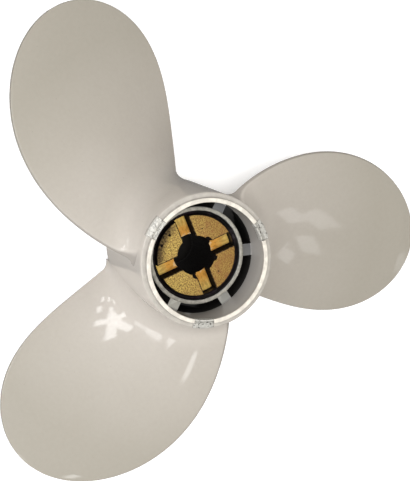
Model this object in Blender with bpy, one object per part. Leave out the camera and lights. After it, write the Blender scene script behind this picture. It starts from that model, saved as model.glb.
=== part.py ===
"""Three-blade propeller of a small outboard motor, with exhaust passages through its hub.

Metres, +Z along the shaft towards the front end, where the drive pin seats. The origin lies on the shaft
axis in the plane of the drive bush's front face, and +X and +Y run through two of the four drive slots.
The propeller is right-handed: seen from behind it turns clockwise when it drives the boat forward.
"""
import math

import bmesh
import bpy
from mathutils import Vector

MM = 0.001

# Overall
TIP_RADIUS = 95.25 * MM
BLADE_COUNT = 3
RIB_COUNT = 6
SEAT_GAP = 0.3 * MM
CUTTER_REACH = 1.0 * MM
ROUND_STEPS = 72

# Turning of the blades, ribs and gate stubs about the shaft, from +X
FIRST_BLADE_ANGLE = math.radians(17.8)
FIRST_RIB_ANGLE = math.radians(11.6)
FIRST_STUB_ANGLE = math.radians(34.5)

# Barrel of the casting
BARREL_RADIUS = 23.5 * MM
BARREL_FRONT = 12.7 * MM
BARREL_REAR = -35.7 * MM
TAIL_START = -31.0 * MM
TAIL_RADIUS = 22.0 * MM
TAIL_STEPS = 5
SHOULDER_HEIGHT = 11.5 * MM
SHOULDER_EDGE = 0.6 * MM
RIM_RADIUS = 21.75 * MM
MOUTH_RADIUS = 20.25 * MM
PASSAGE_RADIUS = 20.6 * MM
PASSAGE_REAR_RADIUS = 20.9 * MM
RIM_EDGE = 0.35 * MM

# Inner sleeve and ribs
SLEEVE_RADIUS = 17.2 * MM
SLEEVE_BORE_RADIUS = 15.8 * MM
SLEEVE_FRONT = 0.55 * MM
SLEEVE_REAR = -28.0 * MM
RIB_WIDTH = 4.1 * MM
RIB_FRONT = 0.2 * MM
RIB_REAR = -27.6 * MM
RIB_STEPS = 3

# Drive bush and rubber ring
BUSH_HEAD_RADIUS = 14.4 * MM
BUSH_HEAD_DEPTH = 9.5 * MM
BUSH_BODY_RADIUS = 10.6 * MM
BUSH_REAR = -27.0 * MM
BORE_RADIUS = 6.9 * MM
BORE_CHAMFER = 0.4 * MM
SLOT_WIDTH = 4.9 * MM
SLOT_DEPTH = 4.6 * MM
RUBBER_FRONT = -1.4 * MM
RUBBER_REAR = -26.2 * MM

# Gate stubs, which sit in three breaks of the front rim
STUB_ARC = math.radians(19.4)
STUB_TOP = 11.9 * MM
STUB_DEPTH = 1.4 * MM
STUB_STEPS = 6

# Blade outline, with lengths as shares of the tip radius and t running from 0 at the hub to 1 at the tip
HUB_SHARE = 0.27
CHORD = (0.592, 0.310, 0.469, -0.386)
CHORD_TIP_POWER = 2.38
SKEW = (-0.089, -0.187, 0.048)
RAKE = (-0.178, -0.078, 0.033)
PITCH = (1.471, 0.066)

# Blade thickness
ROOT_THICKNESS = 7.0 * MM
TIP_THICKNESS = 2.4 * MM
EDGE_THICKNESS = 1.6 * MM
THINNING_CHORD = 38.1 * MM
FILLET_RADIUS = 2.6 * MM
EDGE_TURNS = (8, 35, 62)
SPAN_STATIONS = 18
CHORD_STEPS = 8
ROOT_STEPS = 5

# Colours
PAINT = (0.62, 0.58, 0.51, 1.0)
BRONZE = (0.52, 0.36, 0.13, 1.0)
RUBBER = (0.02, 0.018, 0.017, 1.0)


def clear_scene():
    """Remove every object that the file opens with."""
    for old in list(bpy.data.objects):
        bpy.data.objects.remove(old, do_unlink=True)


def make_material(name, colour, roughness, metallic):
    material = bpy.data.materials.new(name)
    material.use_nodes = True
    shader = material.node_tree.nodes["Principled BSDF"]
    shader.inputs["Base Color"].default_value = colour
    shader.inputs["Roughness"].default_value = roughness
    shader.inputs["Metallic"].default_value = metallic
    return material


def finish_piece(name, mesh_builder, material, parent):
    """Turn a bmesh into a named object under the propeller's empty, with faces out."""
    bmesh.ops.recalc_face_normals(mesh_builder, faces=mesh_builder.faces)
    mesh = bpy.data.meshes.new(name)
    mesh_builder.to_mesh(mesh)
    mesh_builder.free()
    mesh.materials.append(material)
    mesh.shade_smooth()
    mesh.set_sharp_from_angle(angle=math.radians(35))
    piece = bpy.data.objects.new(name, mesh)
    bpy.context.collection.objects.link(piece)
    piece.parent = parent
    return piece


def turned_solid(profile, steps):
    """Spin a closed profile of (radius, height) points about the shaft into a ring."""
    builder = bmesh.new()
    rings = []
    for step in range(steps):
        angle = 2 * math.pi * step / steps
        ring = [builder.verts.new((r * math.cos(angle), r * math.sin(angle), z)) for r, z in profile]
        rings.append(ring)
    count = len(profile)
    for step in range(steps):
        here = rings[step]
        there = rings[(step + 1) % steps]
        for i in range(count):
            j = (i + 1) % count
            builder.faces.new((here[i], there[i], there[j], here[j]))
    return builder


def quarter_round(centre_r, centre_z, radius, start, end, steps):
    """Points of an arc in the (radius, height) plane, from one angle to another."""
    points = []
    for i in range(steps + 1):
        angle = math.radians(start + (end - start) * i / steps)
        points.append((centre_r + radius * math.cos(angle), centre_z + radius * math.sin(angle)))
    return points


def build_barrel(material, parent):
    """The hollow outer barrel: a straight body, a tail that closes in, and a thin raised rim at the front."""
    profile = tail_arc()
    profile += quarter_round(BARREL_RADIUS - SHOULDER_EDGE, SHOULDER_HEIGHT - SHOULDER_EDGE,
                             SHOULDER_EDGE, 0, 90, 2)
    profile += [(RIM_RADIUS, SHOULDER_HEIGHT)]
    profile += quarter_round(RIM_RADIUS - RIM_EDGE, BARREL_FRONT - RIM_EDGE, RIM_EDGE, 0, 90, 1)
    profile += quarter_round(MOUTH_RADIUS + RIM_EDGE, BARREL_FRONT - RIM_EDGE, RIM_EDGE, 90, 180, 1)
    profile += [(MOUTH_RADIUS, RIB_FRONT), (PASSAGE_RADIUS, RIB_FRONT), (PASSAGE_REAR_RADIUS, BARREL_REAR)]
    barrel = finish_piece("hub_barrel", turned_solid(profile, ROUND_STEPS), material, parent)
    for index in range(BLADE_COUNT):
        builder = stub_block(index, MOUTH_RADIUS - CUTTER_REACH, BARREL_RADIUS + CUTTER_REACH,
                             STUB_TOP - STUB_DEPTH, BARREL_FRONT + CUTTER_REACH, STUB_ARC)
        cutter = finish_piece("rim_cutter_%d" % (index + 1), builder, material, parent)
        cut_with(barrel, cutter)
    return barrel


def tail_arc():
    """Points of the barrel's tail, an arc that leaves the straight wall square and ends at the rear face."""
    run = TAIL_START - BARREL_REAR
    drop = BARREL_RADIUS - TAIL_RADIUS
    bend = (run ** 2 + drop ** 2) / (2 * drop)
    points = []
    for i in range(TAIL_STEPS + 1):
        back = run * (1 - i / TAIL_STEPS)
        points.append((BARREL_RADIUS - bend + math.sqrt(bend ** 2 - back ** 2), TAIL_START - back))
    return points


def cut_with(piece, cutter):
    """Cut one object away from another, and keep the cutter out of sight."""
    cutter.hide_render = True
    cutter.display_type = "WIRE"
    cut = piece.modifiers.new(cutter.name, "BOOLEAN")
    cut.operation = "DIFFERENCE"
    cut.solver = "EXACT"
    cut.object = cutter


def build_sleeve(material, parent):
    """The casting's inner tube, which the rubber ring is pressed into."""
    profile = [(SLEEVE_RADIUS, SLEEVE_REAR)]
    profile += quarter_round(SLEEVE_RADIUS - RIM_EDGE, SLEEVE_FRONT - RIM_EDGE, RIM_EDGE, 0, 90, 1)
    profile += quarter_round(SLEEVE_BORE_RADIUS + RIM_EDGE, SLEEVE_FRONT - RIM_EDGE, RIM_EDGE, 90, 180, 1)
    profile += [(SLEEVE_BORE_RADIUS, SLEEVE_REAR)]
    return finish_piece("inner_sleeve", turned_solid(profile, ROUND_STEPS), material, parent)


def build_rib(index, material, parent):
    """One rib between the sleeve and the barrel. Its two ends follow their round walls."""
    centre = FIRST_RIB_ANGLE + 2 * math.pi * index / RIB_COUNT
    builder = bmesh.new()
    inner_radius = SLEEVE_RADIUS + SEAT_GAP
    outer_radius = PASSAGE_RADIUS - SEAT_GAP
    levels = []
    for height in (RIB_REAR, RIB_FRONT):
        outline = []
        for radius, direction in ((inner_radius, 1), (outer_radius, -1)):
            for i in range(RIB_STEPS + 1):
                across = direction * RIB_WIDTH * (0.5 - i / RIB_STEPS)
                angle = centre + math.asin(across / radius)
                outline.append(builder.verts.new((radius * math.cos(angle), radius * math.sin(angle), height)))
        levels.append(outline)
    low, high = levels
    builder.faces.new(low)
    builder.faces.new(high)
    for i in range(len(low)):
        j = (i + 1) % len(low)
        builder.faces.new((low[i], low[j], high[j], high[i]))
    return finish_piece("rib_%d" % (index + 1), builder, material, parent)


def stub_block(index, inner_radius, outer_radius, bottom, top, arc):
    """A block bent round the shaft at the place of one gate stub."""
    centre = FIRST_STUB_ANGLE + 2 * math.pi * index / BLADE_COUNT
    builder = bmesh.new()
    columns = []
    for i in range(STUB_STEPS + 1):
        angle = centre + arc * (i / STUB_STEPS - 0.5)
        column = []
        for radius, height in ((inner_radius, bottom), (outer_radius, bottom), (outer_radius, top),
                               (inner_radius, top)):
            column.append(builder.verts.new((radius * math.cos(angle), radius * math.sin(angle), height)))
        columns.append(column)
    for here, there in zip(columns, columns[1:]):
        for i in range(4):
            j = (i + 1) % 4
            builder.faces.new((here[i], there[i], there[j], here[j]))
    builder.faces.new(columns[0])
    builder.faces.new(columns[-1])
    return builder


def build_gate_stub(index, material, parent):
    """What is left of one casting gate after it was broken off: a block as wide as the barrel's wall."""
    inset = 2 * SEAT_GAP / BARREL_RADIUS
    builder = stub_block(index, MOUTH_RADIUS, BARREL_RADIUS - SEAT_GAP, STUB_TOP - STUB_DEPTH + SEAT_GAP,
                         STUB_TOP, STUB_ARC - inset)
    return finish_piece("gate_stub_%d" % (index + 1), builder, material, parent)


def build_rubber(material, parent):
    """The rubber ring bonded round the stepped bush, with a thin skirt round the bush's head."""
    outer = SLEEVE_BORE_RADIUS - SEAT_GAP
    skirt = BUSH_HEAD_RADIUS + SEAT_GAP
    body = BUSH_BODY_RADIUS + SEAT_GAP
    step = -BUSH_HEAD_DEPTH - SEAT_GAP
    profile = [(outer, RUBBER_REAR), (outer, RUBBER_FRONT), (skirt, RUBBER_FRONT), (skirt, step),
               (body, step), (body, RUBBER_REAR)]
    return finish_piece("rubber_ring", turned_solid(profile, ROUND_STEPS), material, parent)


def build_bush(material, parent):
    """The bronze bush: a thick head with four radial drive slots, and a thinner body behind it."""
    edge = RIM_EDGE
    profile = [(BORE_RADIUS + BORE_CHAMFER, BUSH_REAR), (BUSH_BODY_RADIUS, BUSH_REAR),
               (BUSH_BODY_RADIUS, -BUSH_HEAD_DEPTH), (BUSH_HEAD_RADIUS, -BUSH_HEAD_DEPTH),
               (BUSH_HEAD_RADIUS, -edge), (BUSH_HEAD_RADIUS - edge, 0.0), (BORE_RADIUS + BORE_CHAMFER, 0.0),
               (BORE_RADIUS, -BORE_CHAMFER), (BORE_RADIUS, BUSH_REAR + BORE_CHAMFER)]
    bush = finish_piece("drive_bush", turned_solid(profile, ROUND_STEPS), material, parent)
    for name, length_x, length_y in (("slot_cutter_x", 2.5 * BUSH_HEAD_RADIUS, SLOT_WIDTH),
                                     ("slot_cutter_y", SLOT_WIDTH, 2.5 * BUSH_HEAD_RADIUS)):
        builder = bmesh.new()
        bmesh.ops.create_cube(builder, size=1.0)
        bmesh.ops.scale(builder, verts=builder.verts, vec=(length_x, length_y, 2 * SLOT_DEPTH))
        cut_with(bush, finish_piece(name, builder, material, parent))
    return bush


def blade_chord(t):
    """Chord length at span share t, closing to nothing at the tip."""
    taper = math.sqrt(max(0.0, 1.0 - max(t, 0.0) ** CHORD_TIP_POWER))
    return TIP_RADIUS * taper * sum(c * t ** i for i, c in enumerate(CHORD))


def blade_point(radius, along, lift):
    """A point on the cylinder of this radius: along the pitch line from mid chord, then square to it."""
    t = (radius / TIP_RADIUS - HUB_SHARE) / (1.0 - HUB_SHARE)
    skew = TIP_RADIUS * sum(s * t ** (i + 1) for i, s in enumerate(SKEW))
    rake = TIP_RADIUS * sum(k * t ** i for i, k in enumerate(RAKE))
    pitch = TIP_RADIUS * (PITCH[0] + PITCH[1] * t)
    slope = math.atan2(pitch, 2 * math.pi * radius)
    length = skew + along
    around = length * math.cos(slope) - lift * math.sin(slope)
    height = rake + length * math.sin(slope) + lift * math.cos(slope)
    return around / radius, height


def section_outline(radius):
    """Closed outline of the blade section at this radius, as (along, lift).

    It runs from the trailing edge over the crowned back to the leading edge, and returns along the flat
    face. Both edges are round, and where the chord runs out at the tip the section thins with it.
    """
    span = (radius / TIP_RADIUS - HUB_SHARE) / (1.0 - HUB_SHARE)
    half = 0.5 * blade_chord(span)
    edge = min(0.5 * EDGE_THICKNESS, 0.45 * half)
    thickness = ROOT_THICKNESS + (TIP_THICKNESS - ROOT_THICKNESS) * max(span, 0.0) ** 0.8
    crown = (thickness - EDGE_THICKNESS) * min(1.0, 2 * half / THINNING_CHORD)
    insets = [edge * (1 - math.cos(math.radians(turn))) for turn in EDGE_TURNS]
    for i in range(CHORD_STEPS + 1):
        insets.append(edge + (half - edge) * (1 - math.cos(math.pi / 2 * i / CHORD_STEPS)))
    near = []
    for inset in insets:
        rounding = edge * math.sqrt(1.0 - (1.0 - min(inset / edge, 1.0)) ** 2)
        share = 1.0 - ((half - inset) / half) ** 2
        near.append((inset - half, rounding + crown * share, -rounding))
    whole = near + [(-along, back, face) for along, back, face in reversed(near[:-1])]
    outline = [(along, back) for along, back, face in whole]
    outline += [(along, face) for along, back, face in reversed(whole)]
    return outline


def fillet_flare(radius):
    """How far the root fillet stands proud of the blade's own section at this radius."""
    left = FILLET_RADIUS - (radius - BARREL_RADIUS - SEAT_GAP)
    if left <= 0.0:
        return 0.0
    return FILLET_RADIUS - math.sqrt(FILLET_RADIUS ** 2 - min(left, FILLET_RADIUS) ** 2)


def grown_outline(outline, growth):
    """Move each point of the outline outward, square to it."""
    if growth == 0.0:
        return outline
    grown = []
    for i, (along, lift) in enumerate(outline):
        before = outline[i - 1]
        after = outline[(i + 1) % len(outline)]
        run = after[0] - before[0]
        climb = after[1] - before[1]
        size = math.hypot(run, climb)
        grown.append((along - growth * climb / size, lift + growth * run / size))
    return grown


def span_radii():
    """Section radii, close together in the root fillet and at the tip."""
    root = BARREL_RADIUS + SEAT_GAP
    fillet = [root + FILLET_RADIUS * share for share in (0.0, 0.08, 0.24, 0.5, 1.0)]
    start = fillet[-1]
    rest = []
    for i in range(1, SPAN_STATIONS + 1):
        share = math.sin(math.pi / 2 * i / SPAN_STATIONS)
        rest.append(start + (TIP_RADIUS * 0.9992 - start) * share)
    return fillet + rest


def close_root(builder, loop, outline, radius, turn):
    """Close the blade's root with a strip of faces that follows the barrel's round wall."""
    half_count = len(outline) // 2
    columns = []
    for i in range(half_count):
        top = loop[i]
        bottom = loop[-1 - i]
        column = [top]
        if 0 < i < half_count - 1:
            for k in range(1, ROOT_STEPS):
                share = k / ROOT_STEPS
                along = outline[i][0] + (outline[-1 - i][0] - outline[i][0]) * share
                lift = outline[i][1] + (outline[-1 - i][1] - outline[i][1]) * share
                column.append(builder.verts.new(blade_place(radius, along, lift, turn)))
        column.append(bottom)
        columns.append(column)
    for here, there in zip(columns, columns[1:]):
        if len(here) == len(there):
            for k in range(len(here) - 1):
                builder.faces.new((here[k], here[k + 1], there[k + 1], there[k]))
        else:
            builder.faces.new(here + list(reversed(there)))


def blade_place(radius, along, lift, turn):
    """Where a section's point lies in space. The root fillet stops flush with the barrel's rear face."""
    angle, height = blade_point(radius, along, lift)
    height = max(height, BARREL_REAR)
    return Vector((radius * math.cos(angle + turn), radius * math.sin(angle + turn), height))


def build_blade(index, material, parent):
    """One blade, lofted through its cylindrical sections from the barrel to the tip."""
    turn = FIRST_BLADE_ANGLE + 2 * math.pi * index / BLADE_COUNT
    builder = bmesh.new()
    loops = []
    for radius in span_radii():
        outline = grown_outline(section_outline(radius), fillet_flare(radius))
        if not loops:
            root_outline = outline
        loops.append([builder.verts.new(blade_place(radius, along, lift, turn)) for along, lift in outline])
    count = len(root_outline)
    for inner, outer in zip(loops, loops[1:]):
        for i in range(count):
            j = (i + 1) % count
            builder.faces.new((inner[i], inner[j], outer[j], outer[i]))
    close_root(builder, loops[0], root_outline, BARREL_RADIUS + SEAT_GAP, turn)
    builder.faces.new(loops[-1])
    return finish_piece("blade_%d" % (index + 1), builder, material, parent)


def build_propeller():
    clear_scene()
    parent = bpy.data.objects.new("propeller", None)
    bpy.context.collection.objects.link(parent)
    paint = {}
    for name, roughness in (("barrel_paint", 0.28), ("sleeve_paint", 0.35), ("rib_paint", 0.4),
                            ("blade_paint", 0.25), ("gate_metal", 0.55)):
        paint[name] = make_material(name, PAINT, roughness, 0.0)
    build_barrel(paint["barrel_paint"], parent)
    build_sleeve(paint["sleeve_paint"], parent)
    for index in range(RIB_COUNT):
        build_rib(index, paint["rib_paint"], parent)
    for index in range(BLADE_COUNT):
        build_gate_stub(index, paint["gate_metal"], parent)
    for index in range(BLADE_COUNT):
        build_blade(index, paint["blade_paint"], parent)
    build_rubber(make_material("black_rubber", RUBBER, 0.75, 0.0), parent)
    build_bush(make_material("sintered_bronze", BRONZE, 0.5, 0.9), parent)


build_propeller()
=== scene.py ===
"""A small outboard motor's propeller: one painted die casting, its rubber cushion and its bronze drive bush.

Metres. The shaft runs along Z, and the front end, with the drive slots, looks up.
"""
import math

import bmesh
import bpy
from mathutils import Matrix, Vector, noise


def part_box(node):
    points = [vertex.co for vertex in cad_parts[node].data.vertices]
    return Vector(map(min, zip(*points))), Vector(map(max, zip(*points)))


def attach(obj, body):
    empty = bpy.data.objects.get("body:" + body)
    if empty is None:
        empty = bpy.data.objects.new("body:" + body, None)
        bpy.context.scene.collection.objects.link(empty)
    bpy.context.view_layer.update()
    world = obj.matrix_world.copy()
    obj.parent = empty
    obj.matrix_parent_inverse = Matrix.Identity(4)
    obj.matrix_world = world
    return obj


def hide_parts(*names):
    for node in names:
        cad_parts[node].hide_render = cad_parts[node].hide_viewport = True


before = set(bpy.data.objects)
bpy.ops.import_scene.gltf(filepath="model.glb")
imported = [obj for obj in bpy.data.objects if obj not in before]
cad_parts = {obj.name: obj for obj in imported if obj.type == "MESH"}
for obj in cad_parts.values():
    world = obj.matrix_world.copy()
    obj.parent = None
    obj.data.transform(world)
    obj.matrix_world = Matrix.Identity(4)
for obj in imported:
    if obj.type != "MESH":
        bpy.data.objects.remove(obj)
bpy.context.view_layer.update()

MM = 0.001


# The view: the propeller lies on its rear end, and the camera stands over its front end, a little to one
# side, at the distance and turn that its three like blades give.
VIEW_TILT = math.radians(21.05)
VIEW_SIDE = math.radians(41.22)
VIEW_ROLL = math.radians(115.37)
VIEW_DISTANCE = 548.2 * MM
VIEW_LENS = 137.17
AIM_HEIGHT = -7.3 * MM
AIM_RIGHT = 5.355 * MM
AIM_UP = 4.077 * MM

toward = Vector((math.sin(VIEW_TILT) * math.cos(VIEW_SIDE), math.sin(VIEW_TILT) * math.sin(VIEW_SIDE),
                 math.cos(VIEW_TILT)))
level = Vector((0, 0, 1)).cross(toward).normalized()
upright = toward.cross(level)
view_right = level * math.cos(VIEW_ROLL) + upright * math.sin(VIEW_ROLL)
view_up = upright * math.cos(VIEW_ROLL) - level * math.sin(VIEW_ROLL)
camera_data = bpy.data.cameras.new("view")
camera_data.sensor_fit = "HORIZONTAL"
camera_data.sensor_width = 36.0
camera_data.lens = VIEW_LENS
camera = bpy.data.objects.new("view", camera_data)
bpy.context.scene.collection.objects.link(camera)
camera.matrix_world = Matrix((view_right, view_up, toward)).transposed().to_4x4()
camera.location = (Vector((0, 0, AIM_HEIGHT)) + toward * VIEW_DISTANCE + view_right * AIM_RIGHT
                   + view_up * AIM_UP)
bpy.context.scene.camera = camera


# The hub of the casting: a hollow barrel with a thin rim at its front and an inner sleeve, both of die-cast
# aluminium. The gates that fed the metal were broken off the rim, and left three rough stubs there.
barrel_low, barrel_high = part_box("hub_barrel")
sleeve_low, sleeve_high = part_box("inner_sleeve")
BARREL_RADIUS = barrel_high.x
BARREL_FRONT = barrel_high.z
BARREL_REAR = barrel_low.z
RIM_RADIUS = 21.75 * MM
RIM_EDGE = 0.3 * MM
RIM_FOOT = 0.15 * MM
MOUTH_RADIUS = 20.25 * MM
SHOULDER_HEIGHT = 11.5 * MM
SHOULDER_EDGE = 0.7 * MM
PASSAGE_FRONT = 0.2 * MM
PASSAGE_RADIUS = 20.6 * MM
PASSAGE_REAR_RADIUS = 20.9 * MM
TAIL_START = -31.0 * MM
TAIL_RADIUS = 22.0 * MM
TAIL_EDGE = 0.3 * MM
TAIL_STEPS = 8
SLEEVE_RADIUS = sleeve_high.x
SLEEVE_BORE = 15.8 * MM
SLEEVE_EDGE = 0.45 * MM
SLEEVE_UNEVEN = 0.12 * MM
UNEVEN_DEPTH = 1.5 * MM
STUB_COUNT = 3
FIRST_STUB = math.radians(34.5)
STUB_HALF_ARC = math.radians(9.7)
STUB_HEIGHT = 11.8 * MM
STUB_DEPTH = 1.5 * MM
STUB_EDGE = math.radians(0.7)
STUB_RAGGED = math.radians(0.5)
STUB_LUMPS = 0.30
STUB_GRAINS = 0.18
STUB_SLOPE = 0.7 * MM
STUB_BULGE = 0.2 * MM
LIP_WIDTH = 0.75 * MM
LIP_DROP = 0.25 * MM
GROOVE_OUT = 0.95 * MM
GROOVE_WIDTH = 0.22 * MM
GROOVE_DEPTH = 0.45 * MM
BARREL_COLUMNS = 480
SLEEVE_COLUMNS = 240


def arc(centre_r, centre_z, radius, start, end, steps):
    """Points of an arc in the (radius, height) plane, from one angle in degrees to another."""
    turns = [math.radians(start + (end - start) * i / steps) for i in range(steps + 1)]
    return [(centre_r + radius * math.cos(turn), centre_z + radius * math.sin(turn)) for turn in turns]


def line(start, end, steps):
    """Points between two profile points, without the end points themselves."""
    return [(start[0] + (end[0] - start[0]) * i / steps, start[1] + (end[1] - start[1]) * i / steps)
            for i in range(1, steps)]


def held(value):
    """The value, kept between 0 and 1."""
    return min(max(value, 0.0), 1.0)


def new_piece(name, points, faces):
    """A mesh object of these points and faces, put in the scene at the origin."""
    mesh = bpy.data.meshes.new(name)
    mesh.from_pydata(points, [], faces)
    mesh.validate()
    piece = bpy.data.objects.new(name, mesh)
    bpy.context.scene.collection.objects.link(piece)
    return piece


def polar(radius, turn, height):
    """The place at this radius, turn and height about the shaft."""
    return (radius * math.cos(turn), radius * math.sin(turn), height)


def turned(profile, columns, shape=None):
    """Points and faces of a closed profile turned about the shaft. shape may move each point."""
    points = []
    for column in range(columns):
        turn = 2 * math.pi * column / columns
        for radius, height in profile:
            moved_radius, moved_height = shape(radius, height, turn) if shape else (radius, height)
            points.append(polar(moved_radius, turn, moved_height))
    count = len(profile)
    faces = []
    for column in range(columns):
        here = column * count
        there = (column + 1) % columns * count
        for i in range(count):
            j = (i + 1) % count
            faces.append((here + i, there + i, there + j, here + j))
    return points, faces


def join(*parts):
    """One list of points and one of faces from several."""
    points = []
    faces = []
    for more_points, more_faces in parts:
        start = len(points)
        points += more_points
        faces += [tuple(start + i for i in face) for face in more_faces]
    return points, faces


def barrel_profile():
    """The barrel's wall, up its outside from the rear end and down its inside."""
    run = TAIL_START - BARREL_REAR
    drop = BARREL_RADIUS - TAIL_RADIUS
    bend = (run ** 2 + drop ** 2) / (2 * drop)
    tail = [(BARREL_RADIUS - bend + math.sqrt(bend ** 2 - (run * (1 - i / TAIL_STEPS)) ** 2),
             BARREL_REAR + run * i / TAIL_STEPS) for i in range(1, TAIL_STEPS + 1)]
    outside = arc(TAIL_RADIUS - TAIL_EDGE, BARREL_REAR + TAIL_EDGE, TAIL_EDGE, -90, -30, 3) + tail
    outside += line(outside[-1], (BARREL_RADIUS, SHOULDER_HEIGHT - SHOULDER_EDGE), 14)
    shoulder = arc(BARREL_RADIUS - SHOULDER_EDGE, SHOULDER_HEIGHT - SHOULDER_EDGE, SHOULDER_EDGE, 0, 90, 6)
    shoulder += line(shoulder[-1], (RIM_RADIUS + RIM_FOOT, SHOULDER_HEIGHT), 5)
    shoulder += arc(RIM_RADIUS + RIM_FOOT, SHOULDER_HEIGHT + RIM_FOOT, RIM_FOOT, 270, 180, 2)
    rim = line(shoulder[-1], (RIM_RADIUS, BARREL_FRONT - RIM_EDGE), 3)
    rim += arc(RIM_RADIUS - RIM_EDGE, BARREL_FRONT - RIM_EDGE, RIM_EDGE, 0, 90, 4)
    rim += line(rim[-1], (MOUTH_RADIUS + RIM_EDGE, BARREL_FRONT), 5)
    rim += arc(MOUTH_RADIUS + RIM_EDGE, BARREL_FRONT - RIM_EDGE, RIM_EDGE, 90, 180, 4)
    inside = line(rim[-1], (MOUTH_RADIUS, PASSAGE_FRONT), 10) + [(MOUTH_RADIUS, PASSAGE_FRONT)]
    inside += [(PASSAGE_RADIUS, PASSAGE_FRONT)]
    inside += line((PASSAGE_RADIUS, PASSAGE_FRONT), (PASSAGE_REAR_RADIUS, BARREL_REAR), 8)
    inside += [(PASSAGE_REAR_RADIUS, BARREL_REAR)]
    return outside + shoulder + rim + inside


def stub_share(radius, height, turn):
    """1 on a gate stub and 0 off it, with a ragged edge between."""
    along = (turn - FIRST_STUB + math.pi / STUB_COUNT) % (2 * math.pi / STUB_COUNT) - math.pi / STUB_COUNT
    ragged = STUB_RAGGED * noise.noise(Vector((turn * 40, height * 2000, radius * 900)))
    if height < SHOULDER_HEIGHT - STUB_DEPTH:
        return 0.0
    return held((STUB_HALF_ARC - abs(along) + ragged) / STUB_EDGE)


def rim_shape(radius, height, turn):
    """Breaks the rim and its shoulder to a rough face at each gate stub, and leaves a thin lip inside."""
    share = stub_share(radius, height, turn)
    if share == 0.0:
        return radius, height
    place = Vector(polar(radius, turn, height)) / MM
    rough = STUB_LUMPS * noise.fractal(place * 1.3, 0.6, 2.0, 4) + STUB_GRAINS * noise.noise(place * 4.0)
    lip = held((MOUTH_RADIUS + LIP_WIDTH - radius) / (0.2 * MM))
    top = STUB_HEIGHT + rough * MM
    top += (BARREL_FRONT - LIP_DROP - top) * lip
    top -= GROOVE_DEPTH * math.exp(-((radius - MOUTH_RADIUS - GROOVE_OUT) / GROOVE_WIDTH) ** 2)
    if height > SHOULDER_HEIGHT - SHOULDER_EDGE:
        target = top
        if radius > RIM_RADIUS + 0.2 * MM:
            fall = (radius - RIM_RADIUS) / (BARREL_RADIUS - RIM_RADIUS)
            target = top - STUB_SLOPE * fall ** 4
        height += (target - height) * share
    if radius > RIM_RADIUS:
        radius += STUB_BULGE * share * rough
    return min(radius, BARREL_RADIUS), height


def sleeve_profile():
    """The inner sleeve's wall, up its outside and down its bore."""
    front = sleeve_high.z
    rear = sleeve_low.z
    outside = [(SLEEVE_RADIUS, rear)] + line((SLEEVE_RADIUS, rear), (SLEEVE_RADIUS, front - SLEEVE_EDGE), 8)
    top = arc(SLEEVE_RADIUS - SLEEVE_EDGE, front - SLEEVE_EDGE, SLEEVE_EDGE, 0, 90, 4)
    top += arc(SLEEVE_BORE + SLEEVE_EDGE, front - SLEEVE_EDGE, SLEEVE_EDGE, 90, 180, 4)
    bore = line(top[-1], (SLEEVE_BORE, rear), 8) + [(SLEEVE_BORE, rear)]
    return outside + top + bore


def sleeve_shape(radius, height, turn):
    """The sleeve's front edge is as cast, and not quite even."""
    near_front = held((height - sleeve_high.z + UNEVEN_DEPTH) / UNEVEN_DEPTH)
    place = Vector((math.cos(turn), math.sin(turn), radius * 300))
    height += SLEEVE_UNEVEN * near_front * (noise.noise(place * 6) - 0.6)
    if radius < 0.5 * (SLEEVE_RADIUS + SLEEVE_BORE):
        radius += SLEEVE_UNEVEN * near_front * noise.noise(place * 11)
    return radius, height


def mark(piece, name, amount):
    """Stores a number from 0 to 1 at every point of a piece, worked out from the point's place."""
    mesh = piece.data
    layer = mesh.attributes.new(name, "FLOAT", "POINT")
    layer.data.foreach_set("value", [amount(vertex.co) for vertex in mesh.vertices])


hub_points, hub_faces = join(turned(barrel_profile(), BARREL_COLUMNS, rim_shape),
                             turned(sleeve_profile(), SLEEVE_COLUMNS, sleeve_shape))
casting = new_piece("propeller_casting", hub_points, hub_faces)
mark(casting, "broken", lambda co: stub_share(co.xy.length, co.z + 0.3 * MM, math.atan2(co.y, co.x)))


# The three blades and six ribs of the same casting. A blade follows a right-handed screw, thick at its root
# and thin at its round tip, with a fillet where it leaves the barrel. The ribs carry the sleeve.
BLADE_COUNT = 3
RIB_COUNT = 6
TIP_RADIUS = 95.25 * MM
HUB_SHARE = 0.27

# Chord, skew, rake and pitch in tip radii, each as the terms of a polynomial in the share of the span, which
# is 0 at HUB_SHARE of the tip radius and 1 at the tip.
CHORD = (0.592, 0.310, 0.469, -0.386)
CHORD_TIP_POWER = 2.38
SKEW = (0.0, -0.089, -0.187, 0.048)
RAKE = (-0.178, -0.078, 0.033)
PITCH = (1.471, 0.066)

THINNING_CHORD = 38.1 * MM
THINNING_POWER = 0.8
BLADE_COLUMNS = 168
BLADE_ROWS = 84
FILLET_ROWS = 12
TIP_REACH = 0.9992
SEAM_DEPTH = 0.05 * MM
ROOT_SINK = 2.1 * MM
RIB_INTO_SLEEVE = 0.5 * MM
RIB_INTO_BARREL = 0.7 * MM
CREASE = math.radians(62)
BLADE_SIZES = {
    "Tip radius": TIP_RADIUS,
    "Barrel radius": BARREL_RADIUS,
    "Rear face": BARREL_REAR,
    "Rear round": 0.8 * MM,
    "Root thickness": 7.0 * MM,
    "Tip thickness": 2.4 * MM,
    "Edge thickness": 1.6 * MM,
    "Fillet radius": 2.6 * MM,
    "Front fillet": 7.5 * MM,
    "Front limit": SHOULDER_HEIGHT - 0.35 * MM,
    "Front round": 2.0 * MM,
    "First blade": math.radians(17.8),
    "First rib": math.radians(11.6),
    "Rib width": 4.1 * MM,
    "Rib front": PASSAGE_FRONT,
    "Rib rear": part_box("rib_1")[0].z,
}


def feed(tree, socket, value):
    """Links a formula or a socket into a socket, or sets a plain value there."""
    if isinstance(value, Formula):
        tree.links.new(value.source, socket)
    elif isinstance(value, bpy.types.NodeSocket):
        tree.links.new(value, socket)
    else:
        socket.default_value = value


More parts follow.
